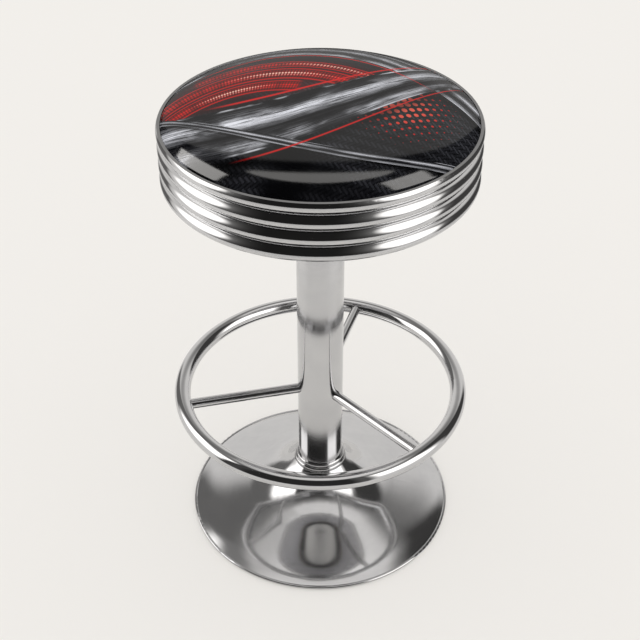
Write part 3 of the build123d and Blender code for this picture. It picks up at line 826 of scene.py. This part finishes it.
def make_world():
    """Pale background for the camera, even dome for matt surfaces, dark room and floor for shiny ones."""
    world = bpy.data.worlds.new("studio")
    bpy.context.scene.world = world
    world.cycles.sampling_method = "NONE"
    graph = Graph(world)
    turn, rise = bearing(graph, *graph.place("Generated"))
    floor = MIRRORED_FLOOR
    for start, end in LIT_FLOOR_TURNS:
        floor = graph.window(turn, start, end, LIT_FLOOR_SOFT) * SOFTBOX_ON_FLOOR + floor
    level = graph.over(DARK_ROOM, floor, 1.0 - graph.smooth(rise, *HORIZON))
    mirrored = graph.node("Background", {"Color": (*WARM_TINT, 1.0), "Strength": level})
    dome = graph.node("Background", {"Color": (1.0, 1.0, 1.0, 1.0), "Strength": DOME_LEVEL})
    pale = graph.node("Background", {"Color": (*BACKGROUND_TONE, 1.0), "Strength": 1.0})
    path = graph.node("LightPath")
    lit = graph.node("MixShader", {
        0: path.outputs["Is Glossy Ray"], 1: dome.outputs[0], 2: mirrored.outputs[0],
    })
    shown = graph.node("MixShader", {0: path.outputs["Is Camera Ray"], 1: lit.outputs[0], 2: pale.outputs[0]})
    graph.node("OutputWorld", {"Surface": shown.outputs[0]})


def make_lamp(name, points, faces, paint, seen_by):
    """Stage piece that glows for the pieces that mirror it and is clear for all others.

    paint is its level, or a function of the graph that gives the level over the lamp.
    """
    lamp = new_object(name, points, faces)
    material = bpy.data.materials.new(name)
    graph = Graph(material)
    level = paint(graph) if callable(paint) else paint
    glow = graph.node("Emission", {"Color": (*WARM_TINT, 1.0), "Strength": level})
    clear = graph.node("BsdfTransparent")
    both = graph.node("AddShader", {0: glow.outputs[0], 1: clear.outputs[0]})
    graph.node("OutputMaterial", {"Surface": both.outputs[0]})
    material.cycles.emission_sampling = "NONE"
    lamp.data.materials.append(material)
    lamp.visible_camera = False
    lamp.visible_diffuse = False
    lamp.visible_shadow = False
    receivers = bpy.data.collections.new(name + "_receivers")
    for piece in seen_by:
        receivers.objects.link(piece)
    lamp.light_linking.receiver_collection = receivers


def far_point(turn, rise):
    """Point far from the seat in a direction."""
    flat = LAMP_DISTANCE * math.cos(math.radians(rise))
    return (
        flat * math.sin(math.radians(turn)),
        -flat * math.cos(math.radians(turn)),
        SEAT_LEVEL + LAMP_DISTANCE * math.sin(math.radians(rise)),
    )


def backdrop_level(graph):
    """Level of the seat's backdrop, brighter towards its top."""
    height = (graph.place()[2] - SEAT_LEVEL) / LAMP_DISTANCE
    level = BACKDROP_LEVEL
    for start, end, gain in BACKDROP_GAINS:
        level = graph.smooth(height, start, end) * gain + level
    return level


def make_seat_lamps(seat):
    """Lamps that the glossy seat mirrors: two strips at its sides, a bowed one above and an oval backdrop."""
    strips = (("left_strip", LEFT_STRIP, LEFT_STRIP_LEVEL), ("right_strip", RIGHT_STRIP, RIGHT_STRIP_LEVEL))
    for name, corners, level in strips:
        make_lamp(name, [far_point(*corner) for corner in corners], [(0, 1, 2, 3)], level, [seat])

    points = []
    for across in np.linspace(-REAR_STRIP_HALF, REAR_STRIP_HALF, REAR_STRIP_STEPS + 1):
        middle = REAR_STRIP_DEPTH + REAR_STRIP_BOW * across ** 2
        thick = REAR_STRIP_THICK * math.sqrt(1.0 - (across / REAR_STRIP_HALF) ** 2)
        for depth in (middle - thick, middle + thick):
            points.append((across * LAMP_DISTANCE, depth * LAMP_DISTANCE, SEAT_LEVEL + LAMP_DISTANCE))
    faces = [(2 * k, 2 * k + 1, 2 * k + 3, 2 * k + 2) for k in range(REAR_STRIP_STEPS)]
    make_lamp("rear_strip", points, faces, REAR_STRIP_LEVEL, [seat])

    points = []
    for turn in np.linspace(0.0, 2.0 * math.pi, BACKDROP_STEPS, endpoint=False):
        across = BACKDROP_HALF * math.cos(turn)
        height = BACKDROP_MIDDLE + BACKDROP_RISE * math.sin(turn)
        points.append((across * LAMP_DISTANCE, LAMP_DISTANCE, SEAT_LEVEL + height * LAMP_DISTANCE))
    make_lamp("seat_backdrop", points, [tuple(range(BACKDROP_STEPS))], backdrop_level, [seat])


def make_room(name, size, paint, seen_by):
    """Studio room round the stool to mirror; paint(graph, turn, rise) gives its level by direction."""
    half = size / 2
    points = [(x, y, z) for z in (-half, half) for y in (-half, half) for x in (-half, half)]
    faces = [(0, 1, 3, 2), (4, 6, 7, 5), (0, 4, 5, 1), (2, 3, 7, 6), (0, 2, 6, 4), (1, 5, 7, 3)]

    def level(graph):
        turn, rise = bearing(graph, *graph.place())
        return paint(graph, turn, rise) * graph.smooth(rise, *HORIZON)

    make_lamp(name, points, faces, level, seen_by)


def upper_room(graph, turn, rise):
    """What the seat's ring mirrors: two oval softboxes, a dark front and roof, pale sides and a dim back."""
    back = graph.smooth(graph.math("ABSOLUTE", turn), *UPPER_BACK_TURNS)
    level = UPPER_SIDES - back * UPPER_BACK_LOSS
    level = graph.over(level, UPPER_DARK, graph.smooth(rise, *UPPER_ROOF_RISES))
    level = graph.over(level, UPPER_DARK, graph.window(turn, *UPPER_FRONT_TURNS, UPPER_FRONT_SOFT))
    for dim, start, end, lean, low, high in UPPER_GAPS:
        below = 1.0 - graph.smooth(rise + turn * lean, low, high)
        level = graph.over(level, dim, graph.window(turn, start, end, UPPER_GAP_SOFT) * below)
    for middle, half_width, height, half_height in UPPER_SOFTBOXES:
        reach = graph.reach((turn - middle) / half_width, (rise - height) / half_height)
        glow = graph.math("EXPONENT", (1.0 - reach) * SOFTBOX_GLOW_FALL) * SOFTBOX_GLOW
        level = graph.math("MAXIMUM", level, glow)
        level = graph.over(level, SOFTBOX_LEVEL, 1.0 - graph.smooth(reach, *UPPER_SOFTBOX_EDGE))
    return level


def lower_room(graph, turn, rise):
    """What all other pieces mirror: two softboxes, gaps beside them, a dark front and a bright roof."""
    level = LOWER_SIDES - graph.smooth(rise, *LOWER_SIDES_RISES) * LOWER_SIDES_LOSS
    low = 1.0 - graph.smooth(rise, *LOWER_BAND_TOP)
    bands = [(gap, LOWER_GAP_FOOT) for gap in LOWER_GAPS] + [(LOWER_FRONT, LOWER_FRONT_FOOT)]
    for (dim, start, end, soft), foot in bands:
        level = graph.over(level, dim, graph.window(turn, start, end, soft) * low * graph.smooth(rise, *foot))
    for spill, start, end, soft in LOWER_SPILLS:
        level = graph.math("MAXIMUM", level, graph.window(turn, start, end, soft) * spill * low)
    tall = graph.smooth(rise, *LOWER_SOFTBOX_FOOT) * (1.0 - graph.smooth(rise, *LOWER_SOFTBOX_TOP))
    for start, end in LOWER_SOFTBOX_TURNS:
        level = graph.over(level, SOFTBOX_LEVEL, graph.window(turn, start, end, LOWER_SOFTBOX_SOFT) * tall)
    loss, start, end, soft = LOWER_ROOF_LOSS
    beside = graph.smooth(graph.math("ABSOLUTE", turn), *LOWER_ROOF_GAIN_TURNS)
    steep = graph.smooth(rise, *LOWER_ROOF_GAIN_RISES) * beside
    roof = LOWER_ROOF - graph.window(turn, start, end, soft) * loss + steep * LOWER_ROOF_GAIN
    return graph.over(level, roof, graph.smooth(rise, *LOWER_ROOF_RISES))


def make_floor():
    """Pale floor with the stool's shadow, part filled. Mirrored far off, it gives way to the studio."""
    half = FLOOR_SIZE / 2
    corners = [(-half, -half, 0.0), (half, -half, 0.0), (half, half, 0.0), (-half, half, 0.0)]
    floor = new_object("floor", corners, [(0, 1, 2, 3)])
    material = bpy.data.materials.new("pale_floor")
    graph = Graph(material)
    x, y, _ = graph.place()
    mottle = graph.noise(graph.point(), scale=5.0, detail=3.0, roughness=0.5)
    shaded = tuple(FLOOR_MOTTLE * c for c in FLOOR_TONE)
    paper = graph.node("BsdfDiffuse", {"Color": graph.tint(mottle, shaded, FLOOR_TONE)})
    fill = graph.node("Emission", {"Color": (*FLOOR_TONE, 1.0), "Strength": DOME_LEVEL})
    clear = graph.node("BsdfTransparent")
    path = graph.node("LightPath")
    seen = Field(graph, path.outputs["Is Camera Ray"]) * SHADOW_FILL
    filled = graph.node("MixShader", {0: seen, 1: paper.outputs[0], 2: fill.outputs[0]})
    far = Field(graph, path.outputs["Is Glossy Ray"]) * graph.smooth(graph.reach(x, y), *FLOOR_MIRROR_FADE)
    whole = graph.node("MixShader", {0: far, 1: filled.outputs[0], 2: clear.outputs[0]})
    graph.node("OutputMaterial", {"Surface": whole.outputs[0]})
    material.cycles.emission_sampling = "NONE"
    floor.data.materials.append(material)


bpy.context.scene.view_settings.view_transform = "Standard"
make_camera()
make_world()
make_floor()
make_seat_lamps(make_cushion())
ring_pieces = ("seat_ring", "pan_screws")
make_room("upper_room", UPPER_ROOM_SIZE, upper_room, [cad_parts[name] for name in ring_pieces])
other_pieces = [node for name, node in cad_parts.items() if name not in ring_pieces]
make_room("lower_room", LOWER_ROOM_SIZE, lower_room, other_pieces)

dress(
    spun_metal("ring_chrome", CHROME_DARK, CHROME_LIGHT, rough=(0.035, 0.075), mark_depth=POLISH_MARKS),
    "seat_ring", "column_collar", "pan_screws",
)
dress(
    spun_metal(
        "foot_ring_chrome", dark=(0.56, 0.561, 0.57), light=(0.61, 0.61, 0.615),
        rough=(0.04, 0.08), mark_depth=POLISH_MARKS,
    ),
    "foot_ring",
)
dress(
    drawn_metal("tube_chrome", CHROME_DARK, CHROME_LIGHT, rough=(0.10, 0.15), mark_depth=POLISH_MARKS),
    "column_tube",
)
dress(
    grained(
        "spoke_chrome", CHROME_DARK, CHROME_LIGHT,
        scale=40.0, rough=(0.05, 0.09), depth=POLISH_MARKS, metallic=1.0,
    ),
    "foot_spoke_left", "foot_spoke_right", "foot_spoke_rear",
)
dress(
    spun_metal(
        "base_plate", dark=(0.55, 0.552, 0.562), light=(0.60, 0.60, 0.608),
        rough=(0.08, 0.12), mark_depth=0.000001,
    ),
    "base_shell",
)
dress(
    spun_metal(
        "pan_sheet", dark=(0.46, 0.46, 0.48), light=(0.56, 0.56, 0.58),
        rough=(0.24, 0.36), mark_depth=0.00001,
    ),
    "seat_pan",
)
dress(
    grained(
        "black_coat", dark=(0.010, 0.010, 0.011), light=(0.022, 0.022, 0.024),
        scale=900.0, rough=(0.28, 0.42), depth=0.00006,
    ),
    "swivel_upper_plate", "seat_bolts", "bolt_washers",
)
dress(
    grained(
        "zinc_plate", dark=(0.52, 0.53, 0.53), light=(0.68, 0.67, 0.62),
        scale=260.0, rough=(0.26, 0.42), depth=0.00002, metallic=1.0,
    ),
    "draw_bolt", "draw_washer", "column_foot_plug", "column_head_plug", "swivel_spindle", "spindle_washer",
    "spindle_nut", "tee_nuts", "pan_spacers",
)
# The same zinc as above, painted far lighter: painted light on the lower swivel plate, which sits in shade
# under the seat
dress(
    grained(
        "bright_zinc", dark=(0.80, 0.80, 0.80), light=(0.93, 0.92, 0.90),
        scale=260.0, rough=(0.30, 0.46), depth=0.00002, metallic=1.0,
    ),
    "swivel_lower_plate",
)
dress(
    spun_metal(
        "ball_steel", dark=(0.62, 0.62, 0.63), light=(0.72, 0.72, 0.73),
        rough=(0.05, 0.12), mark_depth=POLISH_MARKS,
    ),
    "swivel_balls",
)
dress(
    spun_metal(
        "cage_brass", dark=(0.60, 0.45, 0.18), light=(0.74, 0.58, 0.28),
        rough=(0.22, 0.36), mark_depth=0.000004,
    ),
    "ball_cage",
)
dress(
    spun_metal(
        "bush_bronze", dark=(0.52, 0.34, 0.17), light=(0.66, 0.46, 0.25),
        rough=(0.24, 0.38), mark_depth=0.000006,
    ),
    "spindle_bush",
)
dress(
    grained(
        "cast_ballast", dark=(0.05, 0.05, 0.05), light=(0.13, 0.13, 0.128),
        scale=420.0, rough=(0.55, 0.75), depth=0.0004,
    ),
    "base_weight",
)
dress(
    grained(
        "pad_rubber", dark=(0.018, 0.018, 0.018), light=(0.036, 0.036, 0.035),
        scale=800.0, rough=(0.7, 0.85), depth=0.00015,
    ),
    "floor_pads",
)
dress(
    plywood(
        "plywood_board", dark=(0.36, 0.235, 0.13), light=(0.60, 0.44, 0.28),
        rough=(0.55, 0.75), pore_depth=0.0002,
    ),
    "seat_board",
)
dress(
    foam(
        "open_foam", dark=(0.62, 0.55, 0.36), light=(0.85, 0.79, 0.60),
        rough=(0.85, 0.95), pore_depth=0.0006,
    ),
    "seat_foam",
)
